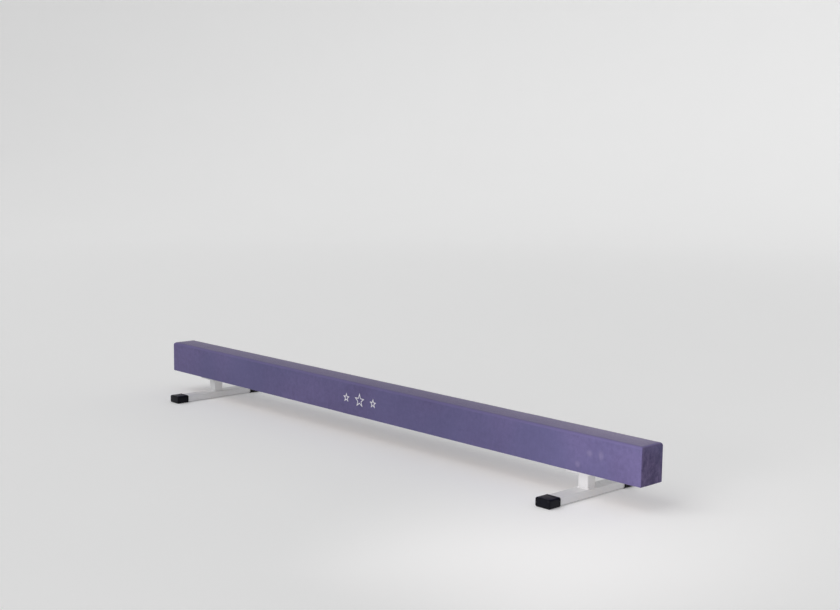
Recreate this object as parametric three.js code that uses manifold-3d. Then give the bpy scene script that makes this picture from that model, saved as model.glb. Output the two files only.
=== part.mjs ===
// A low floor balance beam for gymnastics: a laminated timber core, padded with foam and covered in
// suede cloth, on two welded steel legs with rubber end caps.
//
// Millimetres, +Z up, +X along the beam, -Y the front. The origin is on the floor under the beam's
// middle. Glued, pressed or seated faces are kept apart by a joint line, so that no two pieces touch.

import * as THREE from "three";
import { mergeVertices } from "three/addons/utils/BufferGeometryUtils.js";
import Module from "manifold-3d";

// ---- Driving dimensions -------------------------------------------------------------------------

const BEAM_LENGTH = 2438.4; // 8 ft over the cover
const BEAM_WIDTH = 101.6; // 4 in over the cover
const BEAM_HEIGHT = 120; // underside to walking surface
const WALKING_HEIGHT = 203; // floor to walking surface, 8 in
const TOP_EDGE_RADIUS = 10.5;
const BOTTOM_EDGE_RADIUS = 3;
const JOINT_LINE = 0.3; // gap left at every glued or seated face

const COVER_THICKNESS = 1;
const COVER_FLAP = 28; // cloth turned under along each side and each end
const SIDE_FOAM = 4.75;
const TOP_FOAM = 9.5;
const END_FOAM = 5;

const LEG_OFFSET = 980; // from the middle of the beam to each leg
const FOOT_LENGTH = 406.4; // 16 in over the caps
const TUBE_WIDTH = 50.8; // 2 in
const TUBE_HEIGHT = 25.4; // 1 in
const TUBE_RADIUS = 4;
const POST_SIDE = 38.1; // 1.5 in
const TUBE_WALL = 2;
const PLATE_SIDE = 90;
const PLATE_THICKNESS = 4.8; // 3/16 in
const PLATE_RADIUS = 6;
const WELD_LEG = 4;

const CAP_LENGTH = 50;
const CAP_SIDE_WALL = 3.3; // beside the tube
const CAP_SOLE = 1.6; // above and below the tube
const CAP_END = 4;
const CAP_RADIUS = 6.3;
const CAP_BEVEL = 2.5;

const BOLT_SPACING = 64; // between neighbouring bolts of the square pattern in each plate
const BOLT_RADIUS = 4; // M8
const BOLT_LENGTH = 35; // over the countersunk head
const BOLT_HOLE_RADIUS = 4.5;
const HEAD_RADIUS = 8;
const HEAD_LAND = 0.4; // upright rim of the head, below its 90 degree cone
const HEAD_RECESS = 0.2; // head's flat face in from the plate's face
const SOCKET_FLATS = 5;
const SOCKET_DEPTH = 3;
const INSERT_RADIUS = 6;
const INSERT_BORE_RADIUS = 4.15;
const INSERT_LENGTH = 25;
const INSERT_FLANGE_RADIUS = 7.5;
const INSERT_FLANGE = 1.5;
const INSERT_POCKET = 30; // depth of the drilled pocket that takes the insert and the bolt's end

// ---- Sizes that follow --------------------------------------------------------------------------

const UNDERSIDE_HEIGHT = WALKING_HEIGHT - BEAM_HEIGHT;
const PADDING_INSET = COVER_THICKNESS + JOINT_LINE; // cover's outer face to the foam
const CORE_HALF_WIDTH = BEAM_WIDTH / 2 - PADDING_INSET - SIDE_FOAM - JOINT_LINE;
const CORE_TOP = BEAM_HEIGHT - PADDING_INSET - TOP_FOAM - JOINT_LINE;
const CORE_END = BEAM_LENGTH / 2 - PADDING_INSET - END_FOAM - JOINT_LINE;
const FLAP_EDGE = BEAM_WIDTH / 2 - COVER_FLAP; // from the centreline to the raw edge of the cloth

const TUBE_BOTTOM = CAP_SOLE + JOINT_LINE;
const TUBE_TOP = TUBE_BOTTOM + TUBE_HEIGHT;
const PLATE_TOP = UNDERSIDE_HEIGHT - JOINT_LINE;
const PLATE_BOTTOM = PLATE_TOP - PLATE_THICKNESS;
const SINK_RADIUS = HEAD_RADIUS + HEAD_RECESS + HEAD_LAND + 2 * JOINT_LINE; // at the plate's face

// ---- Materials ----------------------------------------------------------------------------------

const material = (color, roughness, metalness = 0) =>
  new THREE.MeshStandardMaterial({ color, roughness, metalness });

const suede = material(0x6a618b, 0.95);
const foam = material(0xd9d4c4, 0.9);
const timber = material(0xc89f68, 0.7);
const powderCoat = material(0xe9e9e7, 0.35);
const rubber = material(0x17181b, 0.55);
const zincSteel = material(0xb9bcc0, 0.35, 0.9);

// ---- Geometry helpers ---------------------------------------------------------------------------

const wasm = await Module();
wasm.setup();

/** A closed mesh as a solid that can be cut and joined. */
function toSolid(geometry) {
  const bare = geometry.clone();
  bare.deleteAttribute("normal");
  bare.deleteAttribute("uv");
  const merged = mergeVertices(bare, 1e-4);
  return new wasm.Manifold(
    new wasm.Mesh({
      numProp: 3,
      vertProperties: merged.attributes.position.array,
      triVerts: new Uint32Array(merged.index.array),
    }),
  );
}

/** A cut or joined solid as a mesh again. */
function toGeometry(solid) {
  const { vertProperties, triVerts } = solid.getMesh();
  const geometry = new THREE.BufferGeometry();
  geometry.setAttribute("position", new THREE.BufferAttribute(vertProperties, 3));
  geometry.setIndex(new THREE.BufferAttribute(triVerts, 1));
  geometry.computeVertexNormals();
  return geometry;
}

/** A rectangle with round corners, centred on the origin. */
function roundedRectangle(width, height, radius) {
  const x = width / 2 - radius;
  const y = height / 2 - radius;
  const quarter = Math.PI / 2;
  const shape = new THREE.Shape();
  shape.absarc(x, y, radius, 0, quarter);
  shape.absarc(-x, y, radius, quarter, 2 * quarter);
  shape.absarc(-x, -y, radius, 2 * quarter, 3 * quarter);
  shape.absarc(x, -y, radius, 3 * quarter, 4 * quarter);
  shape.closePath();
  return shape;
}

/** The wall of a round-cornered tube, as a shape with a hole. */
function tubeSection(width, height, radius, wall) {
  const shape = roundedRectangle(width, height, radius);
  shape.holes.push(roundedRectangle(width - 2 * wall, height - 2 * wall, radius - wall));
  return shape;
}

const ARC_SEGMENTS = 2; // an arc in a shape is drawn with twice as many sides

/** A shape extruded from start to end along an axis. The shape's plane is (Y, Z), (-X, Z) or (X, Y). */
function extrudeAlong(axis, shape, start, end, options = {}) {
  const geometry = new THREE.ExtrudeGeometry(shape, {
    depth: end - start,
    bevelEnabled: false,
    curveSegments: ARC_SEGMENTS,
    ...options,
  });
  geometry.translate(0, 0, start);
  const X = new THREE.Vector3(1, 0, 0);
  const Y = new THREE.Vector3(0, 1, 0);
  const Z = new THREE.Vector3(0, 0, 1);
  const turn = new THREE.Matrix4();
  if (axis === "x") turn.makeBasis(Y, Z, X);
  if (axis === "y") turn.makeBasis(X.negate(), Z, Y);
  return geometry.applyMatrix4(turn);
}

/** A box between two corners. */
function boxBetween([x0, y0, z0], [x1, y1, z1]) {
  const geometry = new THREE.BoxGeometry(x1 - x0, y1 - y0, z1 - z0);
  return geometry.translate((x0 + x1) / 2, (y0 + y1) / 2, (z0 + z1) / 2);
}

/** An upright cone frustum from z0 to z1. */
function uprightCone(lowRadius, highRadius, z0, z1, sides = 16) {
  const geometry = new THREE.CylinderGeometry(highRadius, lowRadius, z1 - z0, sides);
  return geometry.rotateX(Math.PI / 2).translate(0, 0, (z0 + z1) / 2);
}

/** An upright cylinder, or a prism where sides is small, from z0 to z1. */
function uprightCylinder(radius, z0, z1, sides) {
  return uprightCone(radius, radius, z0, z1, sides);
}

/** A profile of [radius, z] points turned about the Z axis. It closes on itself or on the axis. */
function turned(profile, sides = 16) {
  const points = profile.map(([r, z]) => new THREE.Vector2(r, z));
  return new THREE.LatheGeometry(points, sides).rotateX(Math.PI / 2);
}

/** A named mesh, moved to a place in its group. */
function piece(name, geometry, pieceMaterial, [x, y, z] = [0, 0, 0]) {
  const mesh = new THREE.Mesh(geometry, pieceMaterial);
  mesh.name = name;
  mesh.position.set(x, y, z);
  return mesh;
}

/** The four bolt places of one leg, as [x, y] from the leg's centre. */
function boltPlaces() {
  const reach = BOLT_SPACING / 2;
  return [-reach, reach].flatMap((x) => [-reach, reach].map((y) => [x, y]));
}

/** All eight bolt places under the beam, as [x, y]. */
function allBoltPlaces() {
  return [-LEG_OFFSET, LEG_OFFSET].flatMap((leg) => boltPlaces().map(([x, y]) => [leg + x, y]));
}

// ---- Beam body: z is measured from the underside of the beam ------------------------------------

/** The beam's cross-section in (y, z), drawn in by inset from the outer face of the cover. */
function beamSection(inset) {
  const y = BEAM_WIDTH / 2 - inset;
  const top = BEAM_HEIGHT - inset;
  const topRadius = TOP_EDGE_RADIUS - inset;
  const bottomRadius = BOTTOM_EDGE_RADIUS - inset;
  const bottomCentre = inset + bottomRadius;
  const quarter = Math.PI / 2;
  const section = new THREE.Shape();
  section.absarc(y - bottomRadius, bottomCentre, bottomRadius, -quarter, 0);
  section.absarc(y - topRadius, top - topRadius, topRadius, 0, quarter);
  section.absarc(topRadius - y, top - topRadius, topRadius, quarter, 2 * quarter);
  section.absarc(bottomRadius - y, bottomCentre, bottomRadius, 2 * quarter, 3 * quarter);
  section.closePath();
  return section;
}

/** One of the two laminated planks of the core, with the pockets drilled for its inserts. */
function corePlank(name, side) {
  const near = JOINT_LINE / 2;
  const [y0, y1] = side > 0 ? [near, CORE_HALF_WIDTH] : [-CORE_HALF_WIDTH, -near];
  const corners = [
    [-CORE_END, y0, PADDING_INSET],
    [CORE_END, y1, CORE_TOP],
  ];
  let plank = toSolid(boxBetween(...corners));
  const bottom = PADDING_INSET;
  const bore = uprightCylinder(INSERT_RADIUS + JOINT_LINE, bottom - 1, bottom + INSERT_POCKET);
  const flangeSeat = uprightCylinder(
    INSERT_FLANGE_RADIUS + JOINT_LINE,
    bottom - 1,
    bottom + INSERT_FLANGE + JOINT_LINE,
  );
  const pocket = toSolid(bore).add(toSolid(flangeSeat));
  for (const [x, y] of allBoltPlaces()) {
    if (Math.sign(y) === side) plank = plank.subtract(pocket.translate([x, y, 0]));
  }
  return piece(name, toGeometry(plank), timber);
}

/** A foam strip: the part of the padded section that lies between two corners. */
function foamStrip(name, low, high) {
  const body = toSolid(extrudeAlong("x", beamSection(PADDING_INSET), low[0], high[0]));
  return piece(name, toGeometry(body.intersect(toSolid(boxBetween(low, high)))), foam);
}

/** The long cover: top and both sides in one cloth, its two edges turned under and bolted through. */
function suedeCover() {
  const end = BEAM_LENGTH / 2 - PADDING_INSET;
  const section = beamSection(0);
  section.holes.push(beamSection(COVER_THICKNESS));
  let cover = toSolid(extrudeAlong("x", section, -end, end));
  const openBottom = boxBetween(
    [-end - 1, -FLAP_EDGE, -1],
    [end + 1, FLAP_EDGE, COVER_THICKNESS + 1],
  );
  cover = cover.subtract(toSolid(openBottom));
  const boltHole = toSolid(uprightCylinder(BOLT_HOLE_RADIUS, -1, COVER_THICKNESS + 1));
  for (const [x, y] of allBoltPlaces()) cover = cover.subtract(boltHole.translate([x, y, 0]));
  return piece("suede_cover", toGeometry(cover), suede);
}

/** The end of the cover, sewn to the long cover, with a flap tucked under the beam. */
function endPanel(name, side) {
  const outer = BEAM_LENGTH / 2;
  const panel = toSolid(extrudeAlong("x", beamSection(0), outer - COVER_THICKNESS, outer));
  const flapHalfWidth = FLAP_EDGE - JOINT_LINE;
  const flap = boxBetween(
    [outer - COVER_FLAP, -flapHalfWidth, 0],
    [outer - COVER_THICKNESS / 2, flapHalfWidth, COVER_THICKNESS],
  );
  const mesh = piece(name, toGeometry(panel.add(toSolid(flap))), suede);
  if (side < 0) mesh.rotation.z = Math.PI;
  return mesh;
}

function beamBody() {
  const body = new THREE.Group();
  body.position.z = UNDERSIDE_HEIGHT;

  body.add(corePlank("core_plank_front", -1));
  body.add(corePlank("core_plank_rear", 1));

  const halfWidth = BEAM_WIDTH / 2;
  const padLow = PADDING_INSET;
  const foamFace = CORE_HALF_WIDTH + JOINT_LINE;
  const topFace = CORE_TOP + JOINT_LINE;
  body.add(foamStrip("top_foam", [-CORE_END, -halfWidth, topFace], [CORE_END, halfWidth, BEAM_HEIGHT]));
  body.add(foamStrip("front_foam", [-CORE_END, -halfWidth, padLow], [CORE_END, -foamFace, CORE_TOP]));
  body.add(foamStrip("rear_foam", [-CORE_END, foamFace, padLow], [CORE_END, halfWidth, CORE_TOP]));
  const padIn = CORE_END + JOINT_LINE;
  const padOut = padIn + END_FOAM;
  body.add(foamStrip("left_end_foam", [-padOut, -halfWidth, padLow], [-padIn, halfWidth, BEAM_HEIGHT]));
  body.add(foamStrip("right_end_foam", [padIn, -halfWidth, padLow], [padOut, halfWidth, BEAM_HEIGHT]));

  body.add(suedeCover());
  body.add(endPanel("left_end_panel", -1));
  body.add(endPanel("right_end_panel", 1));
  return body;
}

// ---- Legs: each is one welded T of plate, post and foot tube, bolted up under the beam ----------

/** A plate with four bolt holes, countersunk from below. */
function mountingPlate(name) {
  const outline = roundedRectangle(PLATE_SIDE, PLATE_SIDE, PLATE_RADIUS);
  let plate = toSolid(extrudeAlong("z", outline, PLATE_BOTTOM, PLATE_TOP));
  const bore = uprightCylinder(BOLT_HOLE_RADIUS, PLATE_BOTTOM - 1, PLATE_TOP + 1);
  const sink = uprightCone(SINK_RADIUS + 1, SINK_RADIUS - PLATE_THICKNESS, PLATE_BOTTOM - 1, PLATE_TOP);
  const hole = toSolid(bore).add(toSolid(sink));
  for (const [x, y] of boltPlaces()) plate = plate.subtract(hole.translate([x, y, 0]));
  return piece(name, toGeometry(plate), powderCoat);
}

function post(name) {
  const section = tubeSection(POST_SIDE, POST_SIDE, TUBE_RADIUS, TUBE_WALL);
  const low = TUBE_TOP + JOINT_LINE;
  return piece(name, extrudeAlong("z", section, low, PLATE_BOTTOM - JOINT_LINE), powderCoat);
}

function footTube(name) {
  const section = tubeSection(TUBE_WIDTH, TUBE_HEIGHT, TUBE_RADIUS, TUBE_WALL);
  const end = FOOT_LENGTH / 2 - CAP_END - JOINT_LINE;
  const middle = TUBE_BOTTOM + TUBE_HEIGHT / 2;
  return piece(name, extrudeAlong("y", section, -end, end), powderCoat, [0, 0, middle]);
}

/** A fillet weld round the post: a square frustum with its wide face at z0 and narrow face at z1. */
function filletWeld(name, z0, z1) {
  const clear = POST_SIDE + 2 * JOINT_LINE;
  const low = Math.min(z0, z1);
  const high = Math.max(z0, z1);
  const halfDiagonal = (side) => side * Math.SQRT1_2;
  const narrow = halfDiagonal(clear + 1);
  const wide = halfDiagonal(clear + 2 * WELD_LEG);
  const [top, bottom] = z1 > z0 ? [narrow, wide] : [wide, narrow];
  const frustum = new THREE.CylinderGeometry(top, bottom, high - low, 4)
    .rotateX(Math.PI / 2)
    .rotateZ(Math.PI / 4)
    .translate(0, 0, (low + high) / 2);
  const opening = roundedRectangle(clear, clear, TUBE_RADIUS + JOINT_LINE);
  const through = toSolid(extrudeAlong("z", opening, low - 1, high + 1));
  return piece(name, toGeometry(toSolid(frustum).subtract(through)), powderCoat);
}

/** A push-on cap: a cup over the tube's end, closed and softly bevelled outside. */
function endCap(name, side) {
  const width = TUBE_WIDTH + 2 * (JOINT_LINE + CAP_SIDE_WALL);
  const height = TUBE_HEIGHT + 2 * (JOINT_LINE + CAP_SOLE);
  const inner = FOOT_LENGTH / 2 - CAP_LENGTH;
  const bevelRadius = CAP_RADIUS - CAP_BEVEL;
  const bevelled = roundedRectangle(width - 2 * CAP_BEVEL, height - 2 * CAP_BEVEL, bevelRadius);
  const block = extrudeAlong("y", bevelled, inner - CAP_BEVEL, FOOT_LENGTH / 2 - CAP_BEVEL, {
    bevelEnabled: true,
    bevelThickness: CAP_BEVEL,
    bevelSize: CAP_BEVEL,
    bevelSegments: 2,
  });
  const trim = boxBetween([-width, inner - 3 * CAP_BEVEL, -height], [width, inner, height]);
  const fit = 2 * JOINT_LINE;
  const mouth = roundedRectangle(TUBE_WIDTH + fit, TUBE_HEIGHT + fit, TUBE_RADIUS + JOINT_LINE);
  const pocket = extrudeAlong("y", mouth, inner - 1, FOOT_LENGTH / 2 - CAP_END);
  const cap = toSolid(block).subtract(toSolid(trim)).subtract(toSolid(pocket));
  const mesh = piece(name, toGeometry(cap), rubber, [0, 0, TUBE_BOTTOM + TUBE_HEIGHT / 2]);
  if (side < 0) mesh.rotation.z = Math.PI;
  return mesh;
}

/** A countersunk bolt pointing up, its flat face at z = 0, with a hexagon socket. */
function countersunkBolt(name, place) {
  const shoulder = HEAD_LAND + HEAD_RADIUS - BOLT_RADIUS;
  const body = turned([
    [0, 0],
    [HEAD_RADIUS, 0],
    [HEAD_RADIUS, HEAD_LAND],
    [BOLT_RADIUS, shoulder],
    [BOLT_RADIUS, BOLT_LENGTH],
    [0, BOLT_LENGTH],
  ]);
  const socket = uprightCylinder(SOCKET_FLATS / Math.sqrt(3), -1, SOCKET_DEPTH, 6);
  return piece(name, toGeometry(toSolid(body).subtract(toSolid(socket))), zincSteel, place);
}

/** A flanged insert set in the timber, open at both ends. */
function threadedInsert(name, place) {
  const profile = [
    [INSERT_BORE_RADIUS, 0],
    [INSERT_FLANGE_RADIUS, 0],
    [INSERT_FLANGE_RADIUS, INSERT_FLANGE],
    [INSERT_RADIUS, INSERT_FLANGE],
    [INSERT_RADIUS, INSERT_LENGTH],
    [INSERT_BORE_RADIUS, INSERT_LENGTH],
    [INSERT_BORE_RADIUS, 0],
  ];
  return piece(name, turned(profile), zincSteel, place);
}

/** One leg with its caps and fasteners. end is "left" or "right". */
function leg(end, x) {
  const group = new THREE.Group();
  group.position.x = x;
  group.add(mountingPlate(`${end}_mounting_plate`));
  group.add(post(`${end}_post`));
  group.add(footTube(`${end}_foot_tube`));
  group.add(filletWeld(`${end}_foot_weld`, TUBE_TOP + JOINT_LINE, TUBE_TOP + JOINT_LINE + WELD_LEG));
  group.add(
    filletWeld(`${end}_plate_weld`, PLATE_BOTTOM - JOINT_LINE, PLATE_BOTTOM - JOINT_LINE - WELD_LEG),
  );
  group.add(endCap(`${end}_front_cap`, -1));
  group.add(endCap(`${end}_rear_cap`, 1));
  boltPlaces().forEach(([bx, by], i) => {
    group.add(countersunkBolt(`${end}_bolt_${i + 1}`, [bx, by, PLATE_BOTTOM + HEAD_RECESS]));
    group.add(threadedInsert(`${end}_insert_${i + 1}`, [bx, by, UNDERSIDE_HEIGHT + PADDING_INSET]));
  });
  return group;
}

// ---- Assembly -----------------------------------------------------------------------------------

const balanceBeam = new THREE.Group();
balanceBeam.add(beamBody());
balanceBeam.add(leg("left", -LEG_OFFSET));
balanceBeam.add(leg("right", LEG_OFFSET));

export default balanceBeam;
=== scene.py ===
"""The looks of a low floor balance beam: a padded beam covered in suede cloth, on two welded steel legs.

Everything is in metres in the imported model's frame: +X along the beam, -Y its front side, +Z up, and the
origin on the floor under the beam's middle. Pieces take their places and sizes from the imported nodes.
"""

import math
import random

import bmesh
import bpy
from mathutils import Matrix, Vector, noise
from mathutils.bvhtree import BVHTree


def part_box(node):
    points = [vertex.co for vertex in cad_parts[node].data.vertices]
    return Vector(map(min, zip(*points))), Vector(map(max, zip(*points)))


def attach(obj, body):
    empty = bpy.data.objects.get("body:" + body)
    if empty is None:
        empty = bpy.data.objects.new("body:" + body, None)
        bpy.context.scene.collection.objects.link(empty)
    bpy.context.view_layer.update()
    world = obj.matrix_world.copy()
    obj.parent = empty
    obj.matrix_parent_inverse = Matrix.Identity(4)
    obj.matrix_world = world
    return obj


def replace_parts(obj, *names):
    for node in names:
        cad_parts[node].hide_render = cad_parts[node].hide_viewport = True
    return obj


MM = 0.001
X, Y, Z = Vector((1, 0, 0)), Vector((0, 1, 0)), Vector((0, 0, 1))
ENDS = {"left": -1, "right": 1}

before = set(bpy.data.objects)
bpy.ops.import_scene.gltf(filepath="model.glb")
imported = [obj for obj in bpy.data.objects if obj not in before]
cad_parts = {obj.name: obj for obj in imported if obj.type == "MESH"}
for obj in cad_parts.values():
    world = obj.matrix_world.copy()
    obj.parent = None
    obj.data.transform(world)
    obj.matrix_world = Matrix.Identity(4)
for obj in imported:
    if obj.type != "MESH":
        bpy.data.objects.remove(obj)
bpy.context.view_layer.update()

# ---- Sizes: the beam from the frame, the cloth and trade details given --------------------------

COVER_LOW, COVER_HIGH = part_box("suede_cover")
PANEL_LOW, PANEL_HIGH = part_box("right_end_panel")
HALF_LENGTH = PANEL_HIGH.x
HALF_WIDTH = COVER_HIGH.y
UNDERSIDE, WALKING_HEIGHT = COVER_LOW.z, COVER_HIGH.z
FLAP_LENGTH = PANEL_HIGH.x - PANEL_LOW.x
FLAP_EDGE = HALF_WIDTH - FLAP_LENGTH  # from the centreline to the raw edges of the long flaps

CLOTH = 1 * MM
FIT = 0.3 * MM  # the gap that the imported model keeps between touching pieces
TOP_EDGE_RADIUS = 10.5 * MM
BOTTOM_EDGE_RADIUS = 3 * MM
END_TOP_RADIUS = {-1: 13 * MM, 1: 8 * MM}  # the padded edge between the walking surface and each end
END_SIDE_RADIUS = 2.8 * MM
SEAM_ANGLE = 45  # degrees round an end's edge, from the long face towards the end face
SEAM_DEPTH = 0.4 * MM
SEAM_WIDTH = 1.1 * MM
LIP_DEPTH = 1.2 * MM  # how far the cut edges turn down into the seam
LIP_GAP = 0.3  # degrees from the middle of the seam to each lip


# ---- Materials ----------------------------------------------------------------------------------


class Shader:
    """A material with one Principled surface, and the few kinds of node that all the materials share."""

    def __init__(self, name, **sockets):
        self.material = bpy.data.materials.new(name)
        self.material.use_nodes = True
        self.tree = self.material.node_tree
        self.surface = self.tree.nodes["Principled BSDF"]
        for socket, value in sockets.items():
            self.surface.inputs[socket.replace("_", " ")].default_value = value
        self.place = self.add("TexCoord", output="Object")

    def add(self, kind, inputs=None, output=0, **settings):
        """A new node of this kind, with values or other nodes' outputs for its inputs."""
        node = self.tree.nodes.new("ShaderNode" + kind)
        for name, value in settings.items():
            setattr(node, name, value)
        for key, value in (inputs or {}).items():
            if isinstance(value, bpy.types.NodeSocket):
                self.tree.links.new(value, node.inputs[key])
            else:
                node.inputs[key].default_value = value
        return node.outputs[output]

    def math(self, operation, *values):
        """One arithmetic operation on values or other nodes' outputs."""
        return self.add("Math", dict(enumerate(values)), operation=operation)

    def noise(self, size, detail=2, rough=0.5, stretch=(1, 1, 1), distortion=0):
        """Noise from 0 to 1, in blotches about size across, longer along the axes with more stretch."""
        scale = [1 / s for s in stretch]
        place = self.add("Mapping", {"Vector": self.place, "Scale": scale})
        inputs = {
            "Vector": place,
            "Scale": 1 / size,
            "Detail": detail,
            "Roughness": rough,
            "Distortion": distortion,
        }
        return self.add("TexNoise", inputs)

    def fade(self, value, start, end, low=0, high=1):
        """low where value is at start, high where it is at end, and a smooth step between."""
        inputs = {0: value, 1: start, 2: end, 3: low, 4: high}
        return self.add("MapRange", inputs, interpolation_type="SMOOTHSTEP")

    def mix(self, share, first, second):
        """A colour from first, where share is 0, to second, where it is 1."""
        colours = [c if isinstance(c, bpy.types.NodeSocket) else (*c, 1) for c in (first, second)]
        return self.add("Mix", {0: share, 6: colours[0], 7: colours[1]}, output=2, data_type="RGBA")

    def sum_of(self, *terms):
        """0.5 plus each noise's distance from 0.5 times its weight."""
        total = 0.5
        for value, weight in terms:
            centred = self.math("SUBTRACT", value, 0.5)
            total = self.math("MULTIPLY_ADD", centred, weight, total)
        return total

    def bump(self, height, distance, under=None):
        """A relief as deep as distance, on top of the relief under it."""
        inputs = {"Height": height, "Distance": distance, "Strength": 1}
        if under:
            inputs["Normal"] = under
        return self.add("Bump", inputs)

    def finish(self, colour=None, roughness=None, normal=None):
        """Links what varies over the surface, and returns the material."""
        for socket, value in (("Base Color", colour), ("Roughness", roughness), ("Normal", normal)):
            if value is not None:
                self.tree.links.new(value, self.surface.inputs[socket])
        return self.material


COOL_NAP = (0.118, 0.117, 0.248)
# Painted shade on the walking surface: a darker, greyer nap.
TOP_SHADE_NAP = (0.110, 0.089, 0.176)
RUBBED_NAP = (0.25, 0.22, 0.36)
EDGE_HIGHLIGHT_AND_WEAR = 0.65  # how far the nap pales along the rounded top edges: partly rubbed nap, partly a painted highlight

# Distance from the right end, height over the underside, and half width and half height.
SMUDGES = (
    (146 * MM, 67 * MM, 12 * MM, 18 * MM),
    (189 * MM, 67 * MM, 14 * MM, 12 * MM),
    (234 * MM, 26 * MM, 12 * MM, 12 * MM),
)
SMUDGE_DEPTH = 8 * MM


def suede(name, deep, pale, mottle_size, mottling, streaks):
    """Brushed cloth with a cloudy nap and fine fibres. Its rounded top edges are paler, partly rubbed nap
    and partly painted highlight, and its walking surface is darker and greyer as painted shade.

    mottling and streaks weigh the small clouds and the upright brush strokes.
    """
    shader = Shader(name, Sheen_Weight=0.5, Sheen_Roughness=0.35, Sheen_Tint=(0.85, 0.8, 0.92, 1))
    shader.surface.inputs["Specular IOR Level"].default_value = 0.15
    clouds = shader.noise(150 * MM, detail=2, distortion=0.4)
    mottle = shader.noise(mottle_size, detail=4, rough=0.62, stretch=(1.3, 1, 1.2), distortion=0.5)
    strokes = shader.noise(9 * MM, detail=3, rough=0.55, stretch=(1, 1, 3.5), distortion=0.4)
    fibres = shader.noise(0.9 * MM, detail=3, rough=0.75, stretch=(1, 1, 1.8))
    tone = shader.sum_of((clouds, 0.5), (mottle, mottling), (strokes, streaks), (fibres, 0.8))
    cloth = shader.mix(shader.fade(tone, 0.1, 0.9), deep, pale)
    cool = shader.fade(shader.noise(260 * MM, detail=1), 0.35, 0.65, 0, 0.5)
    cloth = shader.mix(cool, cloth, COOL_NAP)

    facing = shader.add("SeparateXYZ", {0: shader.add("NewGeometry", output="Normal")}, output="Z")
    # Painted highlight, with some rubbed nap: the nap pales on the rounded top edges, between the sides and
    # the walking surface.
    on_edge = shader.math("MULTIPLY", shader.fade(facing, 0.1, 0.5), shader.fade(facing, 1, 0.9))
    cloth = shader.mix(shader.math("MULTIPLY", on_edge, EDGE_HIGHLIGHT_AND_WEAR), cloth, pale)
    # Painted shade: the flat walking surface is darkened and greyed in clouds, as the light falls less on
    # the top than on the front side.
    on_top = shader.fade(facing, 0.93, 0.995)
    top_shade = shader.math("MULTIPLY", on_top, shader.fade(mottle, 0.2, 0.8, 0.4, 0.75))
    cloth = shader.mix(top_shade, cloth, TOP_SHADE_NAP)
    cloth = shader.mix(smudges(shader, strokes), cloth, RUBBED_NAP)

    weave = shader.bump(fibres, 0.2 * MM)
    nap = shader.bump(mottle, 0.3 * MM, under=weave)
    roughness = shader.fade(tone, 0.2, 0.8, 0.96, 0.84)
    return shader.finish(cloth, roughness, nap)


def smudges(shader, strokes):
    """Where the smudges on the front side are, from 0 to 1."""
    everywhere = 0
    for from_end, height, half_width, half_height in SMUDGES:
        centre = Vector((HALF_LENGTH - from_end, -HALF_WIDTH, UNDERSIDE + height))
        offset = shader.add("VectorMath", {0: shader.place, 1: centre}, operation="SUBTRACT")
        reach = (half_width, SMUDGE_DEPTH, half_height)
        share = shader.add("VectorMath", {0: offset, 1: reach}, operation="DIVIDE")
        distance = shader.add("VectorMath", {0: share}, output="Value", operation="LENGTH")
        everywhere = shader.math("MAXIMUM", everywhere, shader.fade(distance, 1.2, 0.2))
    return shader.math("MULTIPLY", everywhere, shader.fade(strokes, 0.2, 0.6, 0.25, 0.45))


def powder_coat():
    """Satin white powder coat with a faint orange peel, patches of grime and a few dark specks."""
    shader = Shader("white_powder_coat", Coat_Weight=0.25, Coat_Roughness=0.35)
    peel = shader.noise(1.6 * MM, detail=1)
    patches = shader.noise(30 * MM, detail=3, rough=0.6)
    specks = shader.fade(shader.noise(2.5 * MM, detail=2), 0.72, 0.8)
    grime = shader.math("MULTIPLY", shader.fade(patches, 0.5, 0.9), 0.3)
    coat = shader.mix(grime, (0.72, 0.72, 0.73), (0.58, 0.565, 0.53))
    coat = shader.mix(shader.math("MULTIPLY", specks, 0.25), coat, (0.4, 0.38, 0.35))
    return shader.finish(coat, shader.fade(patches, 0.2, 0.8, 0.26, 0.42), shader.bump(peel, 0.05 * MM))


def rubber():
    """Black moulded rubber with a fine grain and a dusty bloom."""
    shader = Shader("black_rubber")
    shader.surface.inputs["Specular IOR Level"].default_value = 0.14
    grain = shader.noise(0.7 * MM, detail=3, rough=0.7)
    bloom = shader.noise(14 * MM, detail=4, rough=0.65)
    coat = shader.mix(shader.fade(bloom, 0.4, 0.9), (0.0015, 0.0015, 0.005), (0.005, 0.005, 0.011))
    return shader.finish(coat, shader.fade(bloom, 0.2, 0.8, 0.26, 0.42), shader.bump(grain, 0.05 * MM))


def zinc():
    """Bright zinc plate with a slight blue and yellow cast."""
    shader = Shader("zinc_steel", Metallic=1)
    cast = shader.noise(5 * MM, detail=2)
    scratches = shader.noise(0.6 * MM, detail=2, stretch=(1, 1, 8))
    metal = shader.mix(cast, (0.60, 0.62, 0.66), (0.68, 0.66, 0.60))
    roughness = shader.fade(scratches, 0.2, 0.8, 0.22, 0.4)
    return shader.finish(metal, roughness, shader.bump(scratches, 0.02 * MM))


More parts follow.
